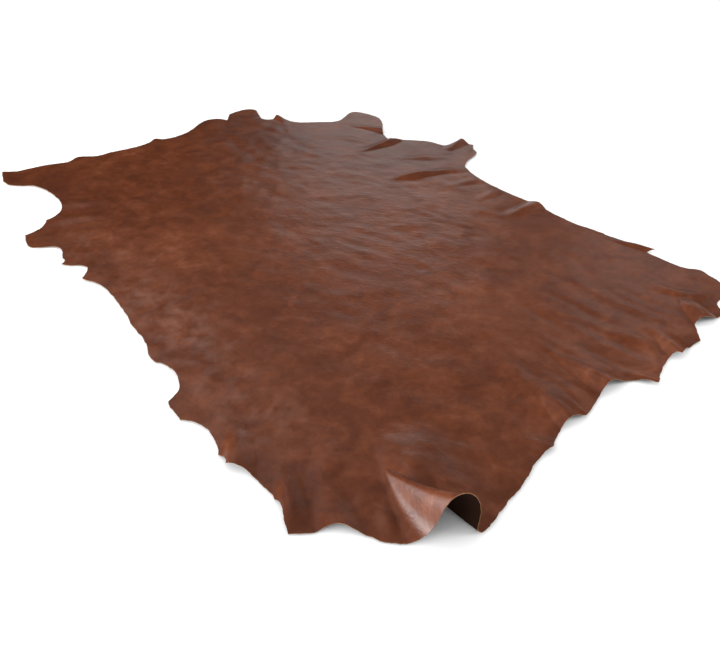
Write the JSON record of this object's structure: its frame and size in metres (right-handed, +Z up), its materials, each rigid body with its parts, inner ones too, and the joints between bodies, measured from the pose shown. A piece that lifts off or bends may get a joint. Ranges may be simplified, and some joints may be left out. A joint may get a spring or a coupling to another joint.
{
  "type": "leather hide",
  "caption": "Full brown leather hide lying grain side up, with shanks, a ruffled butt edge and one standing loop of leather at its edge.",
  "frame": {"origin": "on the floor under the middle of the hide's box", "axes": "+Z up from the floor, +Y along the backbone from the butt edge to the neck edge, +X to the right side"},
  "size_m": [2.006, 2.7242, 0.1396],
  "materials": {
    "leather": "red-brown waxed aniline grain with a soft sheen, lighter raw cut edge, suede flesh side below"
  },
  "bodies": {
    "root": {"hide": "leather"}
  },
  "joints": []
}
